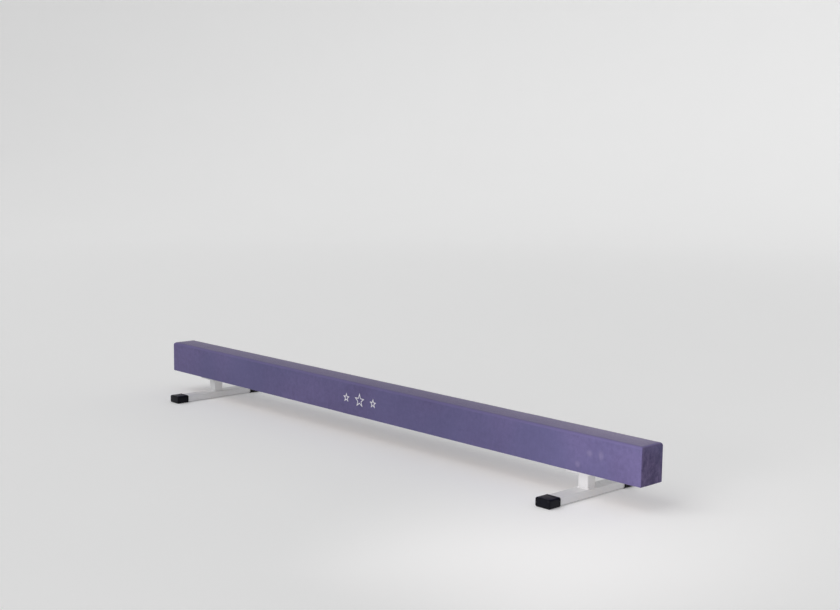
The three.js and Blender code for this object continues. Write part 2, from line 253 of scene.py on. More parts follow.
def timber():
    """Laminated veneer lumber: thin upright veneers with dark glue lines and a grain along the beam."""
    veneer = 3.2 * MM
    glue = 0.25 * MM
    shader = Shader("timber", Roughness=0.7)
    across = shader.add("SeparateXYZ", {0: shader.place}, output="Y")
    layers = shader.math("DIVIDE", across, veneer)
    layer = shader.math("FLOOR", layers)
    within = shader.math("FRACT", layers)
    tone = shader.add("TexWhiteNoise", {"W": layer}, noise_dimensions="1D")
    grain = shader.noise(1.1 * MM, detail=4, rough=0.65, stretch=(60, 1, 1), distortion=0.2)
    figure = shader.noise(9 * MM, detail=3, stretch=(20, 1, 1), distortion=0.6)
    share = shader.sum_of((tone, 0.7), (grain, 0.9), (figure, 0.6))
    wood = shader.mix(shader.fade(share, 0.1, 0.9), (0.34, 0.19, 0.085), (0.66, 0.46, 0.25))
    edge = shader.math("MINIMUM", within, shader.math("SUBTRACT", 1, within))
    line = shader.fade(edge, glue / veneer, 0.3 * glue / veneer)
    wood = shader.mix(line, wood, (0.10, 0.045, 0.02))
    lines = shader.bump(shader.math("SUBTRACT", 1, line), 0.15 * MM)
    return shader.finish(wood, None, shader.bump(grain, 0.15 * MM, under=lines))


def foam():
    """Cream closed-cell foam with a skin of small cells."""
    shader = Shader("foam", Roughness=0.85)
    cells = shader.add("TexVoronoi", {"Vector": shader.place, "Scale": 1 / (1.2 * MM)})
    tone = shader.noise(25 * MM, detail=2)
    skin = shader.mix(tone, (0.66, 0.62, 0.51), (0.76, 0.73, 0.63))
    return shader.finish(skin, None, shader.bump(cells, 0.25 * MM))


def print_ink():
    """White transfer print, a little broken by the nap under it."""
    shader = Shader("white_print", Roughness=0.55)
    nap = shader.noise(1.5 * MM, detail=3, rough=0.7)
    ink = shader.mix(shader.fade(nap, 0.62, 0.8), (0.80, 0.79, 0.84), (0.42, 0.38, 0.55))
    return shader.finish(ink, shader.fade(nap, 0.3, 0.7, 0.5, 0.75), shader.bump(nap, 0.08 * MM))


SUEDE_TONES = (0.105, 0.089, 0.196), (0.16, 0.137, 0.292)
# The end panels' cloth is darker than the long cover's. Part of that is a nap laid another way, and part is
# painted shade on end faces turned from the light.
SHADED_END_TONES = (0.05, 0.04, 0.10), (0.12, 0.092, 0.20)

SUEDE = suede("suede", *SUEDE_TONES, 13 * MM, mottling=0.6, streaks=0.25)
# The end panels' cloth, darkened partly as painted shade.
SHADED_END_SUEDE = suede("shaded_end_suede", *SHADED_END_TONES, 19 * MM, mottling=1.5, streaks=0.2)
POWDER_COAT = powder_coat()
RUBBER = rubber()
ZINC = zinc()
TIMBER = timber()
FOAM = foam()
PRINT_INK = print_ink()


# ---- Mesh helpers -------------------------------------------------------------------------------


def bridge(first, second, closed=True):
    """The quads between two rows of vertex numbers."""
    count = len(first)
    steps = range(count if closed else count - 1)
    return [(first[i], second[i], second[(i + 1) % count], first[(i + 1) % count]) for i in steps]


class Skin:
    """Vertices and faces gathered ring by ring, for one piece."""

    def __init__(self):
        self.vertices, self.faces = [], []

    def row(self, points):
        """Adds points and returns their vertex numbers."""
        start = len(self.vertices)
        self.vertices += points
        return list(range(start, len(self.vertices)))

    def loft(self, rings, looped=False):
        """A closed skin over rings: flat at both ends, or joined from the last ring to the first."""
        rows = [self.row(ring) for ring in rings]
        for first, second in zip(rows, rows[1:]):
            self.faces += bridge(first, second)
        if looped:
            self.faces += bridge(rows[-1], rows[0])
        else:
            self.faces += [tuple(reversed(rows[0])), tuple(rows[-1])]

    def mesh(self, name, closed=True):
        """A mesh of it all. The faces of a closed one are turned outwards."""
        mesh = bpy.data.meshes.new(name)
        mesh.from_pydata(self.vertices, [], self.faces)
        if closed:
            shape = bmesh.new()
            shape.from_mesh(mesh)
            bmesh.ops.recalc_face_normals(shape, faces=shape.faces)
            shape.to_mesh(mesh)
            shape.free()
        return mesh

    def piece(self, name, material, closed=True, crease=40):
        return new_piece(name, self.mesh(name, closed), material, crease)


def new_piece(name, mesh, material, crease=40):
    """A piece that rides on the one body, smooth but for edges sharper than crease degrees."""
    mesh.materials.clear()
    mesh.materials.append(material)
    for polygon in mesh.polygons:
        polygon.use_smooth = True
    mesh.set_sharp_from_angle(angle=math.radians(crease))
    piece = bpy.data.objects.new(name, mesh)
    bpy.context.scene.collection.objects.link(piece)
    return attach(piece, "root")


def stands_for(piece, slot, *nodes):
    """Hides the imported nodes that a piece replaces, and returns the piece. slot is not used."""
    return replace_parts(piece, *nodes) if nodes else piece


def rounded_outline(width, height, radius, steps=8):
    """The points of a rounded rectangle round the origin, anticlockwise."""
    outline = []
    for corner, (u, v) in enumerate([(1, 1), (-1, 1), (-1, -1), (1, -1)]):
        for step in range(steps + 1):
            angle = math.radians(90 * (corner + step / steps))
            along = u * (width / 2 - radius) + radius * math.cos(angle)
            up = v * (height / 2 - radius) + radius * math.sin(angle)
            outline.append((along, up))
    return outline


def circle_outline(radius, sides=24):
    turns = [2 * math.pi * side / sides for side in range(sides)]
    return [(radius * math.cos(turn), radius * math.sin(turn)) for turn in turns]


def hexagon_outline(flats, sides=24):
    """A hexagon with the same number of points as a circle, so that the two can be lofted."""
    points = []
    for side in range(sides):
        turn = 2 * math.pi * side / sides
        from_flat = (turn + math.pi / 6) % (math.pi / 3) - math.pi / 6
        reach = flats / 2 / math.cos(from_flat)
        points.append((reach * math.cos(turn), reach * math.sin(turn)))
    return points


def quarter_turn(steps):
    """Angles from 0 to 90 degrees, in radians."""
    return [math.radians(90 * step / steps) for step in range(steps + 1)]


def ring(outline, centre, across=X, up=Y):
    """An outline's points in space, round a centre."""
    return [centre + across * u + up * v for u, v in outline]


def middle(low, high):
    return (low + high) / 2


# ---- The padded body's outer surface ------------------------------------------------------------


def straight(start, end, normal, steps):
    """(place, normal) pairs across the beam, from start up to just before end."""
    start, end = Vector((0, *start)), Vector((0, *end))
    return [(start.lerp(end, i / steps), Vector((0, *normal))) for i in range(steps)]


def arc(centre, radius, first, last, steps):
    """(place, normal) pairs round a corner, from the first angle, in degrees, to just before the last."""
    points = []
    for i in range(steps):
        angle = math.radians(first + (last - first) * i / steps)
        normal = Vector((0, math.cos(angle), math.sin(angle)))
        points.append((Vector((0, *centre)) + radius * normal, normal))
    return points


def cover_section():
    """The cover's outline across the beam, from the front flap's raw edge over the top to the rear flap's.

    It is a list of (place, normal) pairs, as every outline here is that edge_point reads.
    """
    side = HALF_WIDTH - BOTTOM_EDGE_RADIUS
    low = UNDERSIDE + BOTTOM_EDGE_RADIUS
    shoulder = HALF_WIDTH - TOP_EDGE_RADIUS
    high = WALKING_HEIGHT - TOP_EDGE_RADIUS
    half = straight((-FLAP_EDGE, UNDERSIDE), (-side, UNDERSIDE), (0, -1), 5)
    half += arc((-side, low), BOTTOM_EDGE_RADIUS, 270, 180, 5)
    half += straight((-HALF_WIDTH, low), (-HALF_WIDTH, high), (-1, 0), 12)
    half += arc((-shoulder, high), TOP_EDGE_RADIUS, 180, 90, 7)
    half += straight((-shoulder, WALKING_HEIGHT), (0, WALKING_HEIGHT), (0, 1), 5)
    mirror = Vector((1, -1, 1))
    rear = [(place * mirror, normal * mirror) for place, normal in reversed(half)]
    return [*half, (Z * WALKING_HEIGHT, Z.copy()), *rear]


def flap_section():
    """The end flap's outline across the underside, from rear to front, between the long flaps."""
    edge = FLAP_EDGE - FIT
    points = straight((edge, UNDERSIDE), (-edge, UNDERSIDE), (0, -1), 6)
    return [*points, (Vector((0, -edge, UNDERSIDE)), -Z)]


COVER_SECTION = cover_section()
FLAP_SECTION = flap_section()


def end_radius(normal, side):
    """The rounding of an end's edge: large where the padding is thick, on top, and small elsewhere."""
    share = max(normal.z, 0) ** 2
    return END_SIDE_RADIUS + (END_TOP_RADIUS[side] - END_SIDE_RADIUS) * share


def edge_point(section_point, angle, side, inset=0, seam=True):
    """A point on the rounded edge of an end: at 0 degrees it is on a long face, and at 90 on the end face.

    side is -1 for the left end and 1 for the right, and inset is the depth under the cloth's outer face.
    """
    place, normal = section_point
    radius = end_radius(normal, side)
    turn = math.radians(angle)
    outward = X * side * math.sin(turn) + normal * math.cos(turn)
    centre = X * side * (HALF_LENGTH - radius) + place - normal * radius
    from_seam = math.radians(angle - SEAM_ANGLE) * radius
    depth = SEAM_DEPTH * math.exp(-((from_seam / SEAM_WIDTH) ** 2)) if seam else 0
    return centre + outward * (radius - depth - inset)


def seam_lip(side, angle):
    """The cut edge of a cloth, turned down into the seam round an end."""
    return [edge_point(p, angle, side, inset=LIP_DEPTH) for p in COVER_SECTION]


# ---- The long cover: cloth swollen by the foam under it -----------------------------------------

WRAP_EDGE_ANGLES = (0, 12, 24, 33, 39, 43, 44.6)  # degrees round the edge at an end
BODY_RINGS = 300  # between the two ends
HELD_ROWS = 7  # at each end, beside the seam
PRESSURE = 4
STIFFNESS = 30
SWELL_FRAMES = 20
SWELL_LIMIT = 2 * MM
UNDULATION = 0.35 * MM
CALM_WIDTH = 25 * MM  # beside a seam, where the undulation builds up


def wrap_skin():
    """The long cover as a single sheet.

    Returns it with the numbers of the vertices that are sewn, stapled, or stretched over an edge.
    """
    skin = Skin()
    left = [[edge_point(p, angle, -1) for p in COVER_SECTION] for angle in reversed(WRAP_EDGE_ANGLES)]
    left.insert(0, seam_lip(-1, SEAM_ANGLE - LIP_GAP))
    right = [[edge_point(p, angle, 1) for p in COVER_SECTION] for angle in WRAP_EDGE_ANGLES]
    right.append(seam_lip(1, SEAM_ANGLE - LIP_GAP))
    body = []
    for i in range(1, BODY_RINGS):
        share = i / BODY_RINGS
        body.append([a.lerp(b, share) for a, b in zip(left[-1], right[0])])
    rows = [skin.row(points) for points in [*left, *body, *right]]
    for first, second in zip(rows, rows[1:]):
        skin.faces += bridge(first, second, closed=False)
    held = [number for row in (*rows[:HELD_ROWS], *rows[-HELD_ROWS:]) for number in row]
    for row in rows:
        held += [number for number, (_, normal) in zip(row, COVER_SECTION) if lies_tight(normal)]
    return skin, held


def lies_tight(normal):
    """Whether the long cover is stretched over an edge or stapled flat, where it faces along the normal."""
    over_edge = 0.1 < abs(normal.z) < 0.99
    underneath = normal.z < -0.5
    return over_edge or underneath


def swell(piece, held):
    """Lets the cloth rise over its foam between the held lines, by no more than SWELL_LIMIT."""
    rest = [vertex.co.copy() for vertex in piece.data.vertices]
    normals = [vertex.normal.copy() for vertex in piece.data.vertices]
    pins = piece.vertex_groups.new(name="held")
    pins.add(held, 1, "REPLACE")
    cloth = piece.modifiers.new("cloth", "CLOTH")
    cloth.settings.vertex_group_mass = "held"
    cloth.settings.use_pressure = True
    cloth.settings.uniform_pressure_force = PRESSURE
    cloth.settings.tension_stiffness = STIFFNESS
    cloth.settings.compression_stiffness = STIFFNESS
    cloth.settings.effector_weights.gravity = 0
    for number in range(1, SWELL_FRAMES + 1):
        bpy.context.scene.frame_set(number)
    graph = bpy.context.evaluated_depsgraph_get()
    moved = [vertex.co.copy() for vertex in piece.evaluated_get(graph).data.vertices]
    piece.modifiers.remove(cloth)
    bpy.context.scene.frame_set(1)
    for vertex, start, end, normal in zip(piece.data.vertices, rest, moved, normals):
        rise = (end - start).dot(normal)
        vertex.co = start + normal * min(max(rise, 0), SWELL_LIMIT)


def undulate(piece, size):
    """Small waves, about size long, as hand-laid foam leaves under a cover. They die out at the seams."""
    for vertex in piece.data.vertices:
        x, y, z = vertex.co
        from_seam = max(HALF_LENGTH - abs(x), min(HALF_WIDTH - abs(y), WALKING_HEIGHT - z))
        height = UNDULATION * min(max(from_seam, 0) / CALM_WIDTH, 1)
        vertex.co += vertex.normal * height * noise.noise(vertex.co / size)


def thicken(piece):
    """Gives a sheet the cloth's thickness, inwards."""
    solid = piece.modifiers.new("cloth_thickness", "SOLIDIFY")
    solid.thickness = CLOTH
    solid.offset = -1


def suede_wrap():
    """The long cover over the top, sides and bottom edges."""
    skin, held = wrap_skin()
    piece = skin.piece("suede_wrap", SUEDE, closed=False, crease=60)
    swell(piece, held)
    undulate(piece, size=90 * MM)
    thicken(piece)
    return stands_for(piece, "suede", "suede_cover")


# ---- End panels ---------------------------------------------------------------------------------

PANEL_EDGE_ANGLES = (45.4, 47, 51, 57, 66, 78, 90)  # degrees round the edge at an end
PANEL_LOOPS = (0.94, 0.85, 0.74, 0.63, 0.52, 0.41, 0.3, 0.2, 0.1)  # shares of the way from the middle
PANEL_CROWN = 0.8 * MM
FLAP_ANGLES = (38, 25, 12, 0)
FLAP_ROWS = 6


def end_panel(end):
    """The sewn end of the cover."""
    side = ENDS[end]
    skin = Skin()
    edge = panel_face(skin, side)
    panel_flap(skin, side, edge[len(COVER_SECTION) :])
    if side < 0:
        skin.faces = [tuple(reversed(face)) for face in skin.faces]
    piece = skin.piece(f"{end}_end_panel_sewn", SHADED_END_SUEDE, closed=False, crease=60)
    undulate(piece, size=45 * MM)
    thicken(piece)
    return stands_for(piece, "suede", f"{end}_end_panel")


def panel_face(skin, side):
    """The crowned end face, its rounded edge and the lip in the seam. Returns the edge's first row."""
    rows = []
    for angle in PANEL_EDGE_ANGLES:
        sewn = [edge_point(p, angle, side) for p in COVER_SECTION]
        turned = [edge_point(p, angle, side, seam=False) for p in FLAP_SECTION]
        rows.append(skin.row(sewn + turned))
    lip = skin.row(seam_lip(side, SEAM_ANGLE + LIP_GAP))
    skin.faces += bridge(lip, rows[0][: len(lip)], closed=False)
    outline = [skin.vertices[number] for number in rows[-1]]
    centre = Vector((side * HALF_LENGTH, 0, (UNDERSIDE + WALKING_HEIGHT) / 2))
    for share in PANEL_LOOPS:
        crown = X * side * PANEL_CROWN * (1 - share**2)
        rows.append(skin.row([centre.lerp(place, share) + crown for place in outline]))
    for first, second in zip(rows, rows[1:]):
        skin.faces += bridge(first, second)
    hub = skin.row([centre + X * side * PANEL_CROWN])[0]
    innermost = rows[-1]
    for first, second in zip(innermost, innermost[1:] + innermost[:1]):
        skin.faces.append((first, hub, second))
    return rows[0]


def panel_flap(skin, side, edge):
    """The flap, from the lower part of the edge's first row round the corner and along the underside."""
    flap = [edge]
    for angle in FLAP_ANGLES:
        flap.insert(0, skin.row([edge_point(p, angle, side, seam=False) for p in FLAP_SECTION]))
    start = HALF_LENGTH - END_SIDE_RADIUS
    reach = FLAP_LENGTH - END_SIDE_RADIUS
    for i in range(1, FLAP_ROWS + 1):
        along = X * side * (start - reach * i / FLAP_ROWS)
        flap.insert(0, skin.row([along + place for place, _ in FLAP_SECTION]))
    for first, second in zip(flap, flap[1:]):
        skin.faces += bridge(first, second, closed=False)


# ---- Foam ---------------------------------------------------------------------------------------

FOAM_EASE = 0.8 * MM
FOAM_EDGE_ANGLES = (40, 50, 60, 70, 80, 90)  # degrees round the edge at an end
END_CUTS = 4  # across each end of the top foam, an eighth of its rounding apart


def foam_strip(node):
    """A long strip with its cut edges eased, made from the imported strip's own outline."""
    shape = bmesh.new()
    shape.from_mesh(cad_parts[node].data)
    bmesh.ops.remove_doubles(shape, verts=shape.verts, dist=0.01 * MM)
    bmesh.ops.dissolve_limit(shape, angle_limit=math.radians(1), verts=shape.verts, edges=shape.edges)
    corners = [edge for edge in shape.edges if edge.calc_face_angle(0) > math.radians(60)]
    bmesh.ops.bevel(shape, geom=corners, offset=FOAM_EASE, segments=3, profile=0.5, affect="EDGES")
    if node == "top_foam":
        ease_ends(shape)
    mesh = bpy.data.meshes.new(node)
    shape.to_mesh(mesh)
    shape.free()
    piece = new_piece(f"{node}_strip", mesh, FOAM)
    return stands_for(piece, "foam", node)


def ease_ends(shape):
    """Rounds the top foam's ends down, as the cloth over them is rounded."""
    for side in ENDS.values():
        radius = END_TOP_RADIUS[side]
        start = HALF_LENGTH - radius
        for step in range(END_CUTS):
            cut = X * side * (start + step * radius / 8)
            everything = [*shape.verts, *shape.edges, *shape.faces]
            bmesh.ops.bisect_plane(shape, geom=everything, plane_co=cut, plane_no=X)
        for vertex in shape.verts:
            run = vertex.co.x * side - start
            if run > 0 and vertex.co.z > WALKING_HEIGHT - TOP_EDGE_RADIUS:
                vertex.co.z -= radius - math.sqrt(radius**2 - run**2)


def end_foam(end):
    """The pad behind an end panel, rounded as the panel is."""
    side = ENDS[end]
    node = f"{end}_end_foam"
    low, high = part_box(node)
    inner = X * side * min(abs(low.x), abs(high.x))
    depth = CLOTH + FIT
    rim = [*COVER_SECTION, *FLAP_SECTION[1:-1]]
    rings = [[inner + place - normal * depth for place, normal in rim]]
    for angle in FOAM_EDGE_ANGLES:
        rings.append([edge_point(p, angle, side, inset=depth, seam=False) for p in rim])
    skin = Skin()
    skin.loft(rings)
    piece = skin.piece(f"{node}_pad", FOAM)
    return stands_for(piece, "foam", node)


# ---- Staples under the beam ---------------------------------------------------------------------

STAPLE_SPACING = 38 * MM
STAPLE_CROWN = 11 * MM
STAPLE_LEG = 9 * MM
STAPLE_WIRE = 0.55 * MM  # radius
STAPLE_BEND = 1.2 * MM
STAPLE_HEIGHT = UNDERSIDE - 0.6 * STAPLE_WIRE  # the crown is pressed a little into the cloth
STAPLE_INSET = 6 * MM  # from the cloth's raw edge
END_STAPLES = ((-14 * MM, 85.8), (0, 90), (14 * MM, 94.2))  # place across the beam, and turn in degrees


def add_staple(skin, place, turn):
    """One staple driven up into the timber, its crown pressed against the cloth."""
    along = Matrix.Rotation(turn, 3, "Z") @ X
    across = Z.cross(along)
    half = STAPLE_CROWN / 2
    corner = 0.3 * STAPLE_BEND
    profile = [(half, STAPLE_LEG), (half, STAPLE_BEND), (half - corner, corner), (half - STAPLE_BEND, 0)]
    path = [place - along * out + Z * up for out, up in profile]
    path += [place + along * out + Z * up for out, up in reversed(profile)]
    rings = []
    for i, point in enumerate(path):
        ahead = path[min(i + 1, len(path) - 1)] - path[max(i - 1, 0)]
        out = across.cross(ahead).normalized()
        rings.append(ring(circle_outline(STAPLE_WIRE, 8), point, across, out))
    skin.loft(rings)


def long_staples(name, side):
    """The row of staples along one long flap, left out where the mounting plates sit."""
    draw = random.Random(f"staples {side}")
    plates = [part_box(f"{end}_mounting_plate") for end in ENDS]
    y = side * (FLAP_EDGE + STAPLE_INSET)
    skin = Skin()
    count = int((2 * HALF_LENGTH - 2 * FLAP_LENGTH) / STAPLE_SPACING)
    for i in range(count + 1):
        x = (i - count / 2) * STAPLE_SPACING + draw.uniform(-3, 3) * MM
        place = Vector((x, y + draw.uniform(-1, 1) * MM, STAPLE_HEIGHT))
        turn = math.radians(draw.uniform(-9, 9))
        if all(x < low.x - STAPLE_CROWN or x > high.x + STAPLE_CROWN for low, high in plates):
            add_staple(skin, place, turn)
    return stands_for(skin.piece(name, ZINC), "zinc_steel")


def end_staples(end):
    """Three staples across the flap of an end panel."""
    skin = Skin()
    x = ENDS[end] * (HALF_LENGTH - FLAP_LENGTH + STAPLE_INSET)
    for y, turn in END_STAPLES:
        add_staple(skin, Vector((x, y, STAPLE_HEIGHT)), math.radians(turn))
    return stands_for(skin.piece(f"{end}_end_staples", ZINC), "zinc_steel")


# ---- A plain printed mark on the front side: three stars ----------------------------------------

# Each star's place along the beam, and the reach of its points.
STARS = ((-15 * MM, 27 * MM), (-87 * MM, 18 * MM), (57 * MM, 18 * MM))
STAR_WAIST = 0.42  # a star's inner corners, as a share of its reach
STAR_LINE = 3 * MM
PRINT_THICKNESS = 0.12 * MM
PRINT_GAP = 0.05 * MM  # between the print and the cloth


def star_outline(reach):
    """The ten corners of an upright star, in the plane of the front side."""
    corners = []
    for i in range(10):
        turn = math.pi / 2 + math.pi * i / 5
        out = reach if i % 2 == 0 else reach * STAR_WAIST
        corners.append(Vector((out * math.cos(turn), 0, out * math.sin(turn))))
    return corners


def line_reach():
    """How much less the inner outline of a star reaches, for its line to be STAR_LINE wide."""
    point, waist = star_outline(1)[:2]
    from_centre = point.cross(waist).length / (point - waist).length
    return STAR_LINE / from_centre


def star_mark(wrap):
    """Thin printed stars that follow the cover's surface."""
    graph = bpy.context.evaluated_depsgraph_get()
    cover = BVHTree.FromObject(wrap, graph)
    height = (UNDERSIDE + WALKING_HEIGHT) / 2
    shape = bmesh.new()
    for along, reach in STARS:
        centre = Vector((along, -HALF_WIDTH, height))
        outside = [shape.verts.new(centre + place) for place in star_outline(reach)]
        inside = [shape.verts.new(centre + place) for place in star_outline(reach - line_reach())]
        for face in bridge(outside, inside):
            shape.faces.new(face)
    bmesh.ops.subdivide_edges(shape, edges=shape.edges, cuts=2, use_grid_fill=True)
    for vertex in shape.verts:
        hit = cover.ray_cast(vertex.co - Y * 20 * MM, Y)[0]
        vertex.co = hit - Y * PRINT_GAP
    bmesh.ops.recalc_face_normals(shape, faces=shape.faces)
    if sum(face.normal.y for face in shape.faces) > 0:
        bmesh.ops.reverse_faces(shape, faces=shape.faces)
    mesh = bpy.data.meshes.new("printed_stars")
    shape.to_mesh(mesh)
    shape.free()
    piece = new_piece("printed_stars", mesh, PRINT_INK)
    film = piece.modifiers.new("film", "SOLIDIFY")
    film.thickness = PRINT_THICKNESS
    film.offset = 1
    return piece


# ---- Legs ---------------------------------------------------------------------------------------

TUBE_RADIUS = 4 * MM
TUBE_WALL = 2 * MM
PLATE_RADIUS = 6 * MM
PLATE_EASE = 0.7 * MM
BOLT_HOLE_RADIUS = 4.5 * MM
SINK_RADIUS = 9.2 * MM  # of a bolt hole's countersink, at the plate's face


def square_tube(end, part, axis):
    """A round-cornered tube along an axis, open at both ends, in the place of its node."""
    node = f"{end}_{part}"
    low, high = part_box(node)
    across = Y if axis == Z else X
    up = X if axis == Z else Z
    size = high - low
    width, height, length = (abs(size.dot(a)) for a in (across, up, axis))
    outer = rounded_outline(width, height, TUBE_RADIUS)
    inner = rounded_outline(width - 2 * TUBE_WALL, height - 2 * TUBE_WALL, TUBE_RADIUS - TUBE_WALL)
    centre = middle(low, high)
    start, finish = centre - axis * length / 2, centre + axis * length / 2
    skin = Skin()
    corners = [ring(outer, start, across, up), ring(outer, finish, across, up)]
    corners += [ring(inner, finish, across, up), ring(inner, start, across, up)]
    skin.loft(corners, looped=True)
    return stands_for(skin.piece(f"{node}_tube", POWDER_COAT), "white_powder_coat", node)


def mounting_plate(end):
    """The flat plate with its eased edges and four countersunk holes."""
    node = f"{end}_mounting_plate"
    low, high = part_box(node)
    width, depth, _ = high - low
    skin = Skin()

    def outside(inset, z):
        outline = rounded_outline(width - 2 * inset, depth - 2 * inset, PLATE_RADIUS - inset)
        return skin.row(ring(outline, Vector((middle(low, high).x, middle(low, high).y, z))))

    rows = []
    for turn in quarter_turn(3):
        inset, rise = PLATE_EASE * (1 - math.sin(turn)), PLATE_EASE * (1 - math.cos(turn))
        rows.append(outside(inset, low.z + rise))
    for turn in quarter_turn(3):
        inset, drop = PLATE_EASE * (1 - math.cos(turn)), PLATE_EASE * (1 - math.sin(turn))
        rows.append(outside(inset, high.z - drop))
    for first, second in zip(rows, rows[1:]):
        skin.faces += bridge(first, second)
    for number in range(1, 5):
        bolt = middle(*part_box(f"{end}_bolt_{number}"))
        levels = [(SINK_RADIUS, low.z), (BOLT_HOLE_RADIUS, low.z + SINK_RADIUS - BOLT_HOLE_RADIUS)]
        levels.append((BOLT_HOLE_RADIUS, high.z))
        rows = [skin.row(ring(circle_outline(r, 40), Vector((bolt.x, bolt.y, z)))) for r, z in levels]
        for first, second in zip(rows, rows[1:]):
            skin.faces += bridge(second, first)
    shape = bmesh.new()
    shape.from_mesh(skin.mesh(node, closed=False))
    for z in (low.z, high.z):
        open_edges = [edge for edge in shape.edges if edge.is_boundary]
        rims = [edge for edge in open_edges if abs(edge.verts[0].co.z - z) < FIT]
        bmesh.ops.triangle_fill(shape, edges=rims, use_beauty=True)
    bmesh.ops.recalc_face_normals(shape, faces=shape.faces)
    mesh = bpy.data.meshes.new(f"{node}_flat")
    shape.to_mesh(mesh)
    shape.free()
    return stands_for(new_piece(f"{node}_flat", mesh, POWDER_COAT, 30), "white_powder_coat", node)


WELD_STATIONS = 180
WELD_PITCH = 3.1 * MM  # from one ripple to the next
WELD_FILL = 0.92  # the bead's mean reach, as a share of its node's
WELD_RIPPLE = 0.06  # also shares of the node's reach, for the regular ripple and the uneven hand
WELD_WOBBLE = 0.08
WELD_SAG = 0.14  # how far the bead's face falls short of round, half way
WELD_ROOT = 0.2 * MM  # how far the bead runs into the post


def weld_bead(end, part, wide_side):
    """A rippled fillet weld round the post.

    wide_side is -1 where the bead lies on top of the flat steel, and 1 where it is underneath.
    """
    node = f"{end}_{part}"
    low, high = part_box(node)
    centre = middle(low, high)
    centre.z = low.z - FIT if wide_side < 0 else high.z + FIT
    size = high.z - low.z + FIT
    post_low, post_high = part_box(f"{end}_post")
    width = post_high.x - post_low.x
    path = rounded_path(width, TUBE_RADIUS, WELD_STATIONS)
    length = 4 * (width - 2 * TUBE_RADIUS) + 2 * math.pi * TUBE_RADIUS
    beads = round(length / WELD_PITCH)
    draw = random.Random(node)
    wobble = [draw.uniform(-WELD_WOBBLE, WELD_WOBBLE) for _ in range(beads)]
    rings = []
    for station, (place, normal) in enumerate(path):
        share = station / WELD_STATIONS * beads
        ripple = WELD_RIPPLE * math.sin(2 * math.pi * share)
        reach = size * (WELD_FILL + ripple + wobble[int(share) % beads])
        section = []
        for turn in quarter_turn(6):
            sagged = reach * (1 - WELD_SAG * (1 - abs(math.cos(2 * turn))))
            section.append((sagged * math.cos(turn), sagged * math.sin(turn)))
        section.append((-WELD_ROOT, 0))
        rings.append([centre + place + normal * u - Z * wide_side * v for u, v in section])
    skin = Skin()
    skin.loft(rings, looped=True)
    return stands_for(skin.piece(f"{node}_bead", POWDER_COAT, crease=60), "white_powder_coat", node)


def rounded_path(width, radius, stations):
    """Evenly spaced (place, normal) pairs round a rounded square, starting in the middle of a side."""
    straight_length = width - 2 * radius
    corner_length = math.pi / 2 * radius
    side_length = straight_length + corner_length
    pairs = []
    for station in range(stations):
        run = 4 * side_length * station / stations + straight_length / 2
        quarter, run = divmod(run, side_length)
        if run < straight_length:
            place = Vector((width / 2, run - straight_length / 2, 0))
            normal = X.copy()
        else:
            turn = (run - straight_length) / radius
            normal = Vector((math.cos(turn), math.sin(turn), 0))
            place = Vector((straight_length / 2, straight_length / 2, 0)) + normal * radius
        spin = Matrix.Rotation(math.pi / 2 * quarter, 3, "Z")
        pairs.append((spin @ place, spin @ normal))
    return pairs


CAP_RADIUS = 6.3 * MM
CAP_END_WALL = 4 * MM
CAP_EDGE = 5 * MM

# The outside of the cap's lip: how far in from the full size, and how far from the mouth.
CAP_LIP = (
    (0.7 * MM, 0),
    (0.2 * MM, 0.3 * MM),
    (0, 0.9 * MM),
    (0, 3.4 * MM),
    (0.35 * MM, 4 * MM),
    (0.35 * MM, 10 * MM),
)


def foot_cap(end, where):
    """A moulded push-on cap, round-edged outside, with a lip at its mouth and the tube's pocket inside."""
    node = f"{end}_{where}_cap"
    low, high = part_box(node)
    tube_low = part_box(f"{end}_foot_tube")[0]
    side = 1 if where == "rear" else -1
    width, length, height = high - low
    centre = middle(low, high)
    mouth = Vector((centre.x, centre.y - side * length / 2, centre.z))
    along = Y * side
    wall = tube_low.x - low.x - FIT
    sole = tube_low.z - low.z - FIT

    def outside(inset, run):
        shape = rounded_outline(width - 2 * inset, height - 2 * inset, max(CAP_RADIUS - inset, 1 * MM))
        return ring(shape, mouth + along * run, X, Z)

    def pocket(ease, run):
        radius = TUBE_RADIUS + FIT - ease
        shape = rounded_outline(width - 2 * (wall + ease), height - 2 * (sole + ease), radius)
        return ring(shape, mouth + along * run, X, Z)

    rings = [pocket(1 * MM, length - CAP_END_WALL), pocket(0, length - CAP_END_WALL - 1 * MM)]
    rings += [pocket(0, 0.6 * MM), pocket(-0.3 * MM, 0.15 * MM)]
    rings += [outside(inset, run) for inset, run in CAP_LIP]
    rings.append(outside(0.2 * MM, length * 0.6))
    for turn in quarter_turn(8):
        inset = CAP_EDGE * (1 - math.cos(turn))
        rings.append(outside(inset, length - CAP_EDGE * (1 - math.sin(turn))))
    skin = Skin()
    skin.loft(rings)
    return stands_for(skin.piece(f"{node}_moulding", RUBBER, crease=50), "black_rubber", node)


SOCKET_FLATS = 5 * MM
SOCKET_DEPTH = 3 * MM
SOCKET_CHAMFER = 0.4 * MM
SHANK_RADIUS = 4 * MM
HEAD_LAND = 0.4 * MM
HEAD_EASE = 0.15 * MM
TIP_CHAMFER = 0.8 * MM


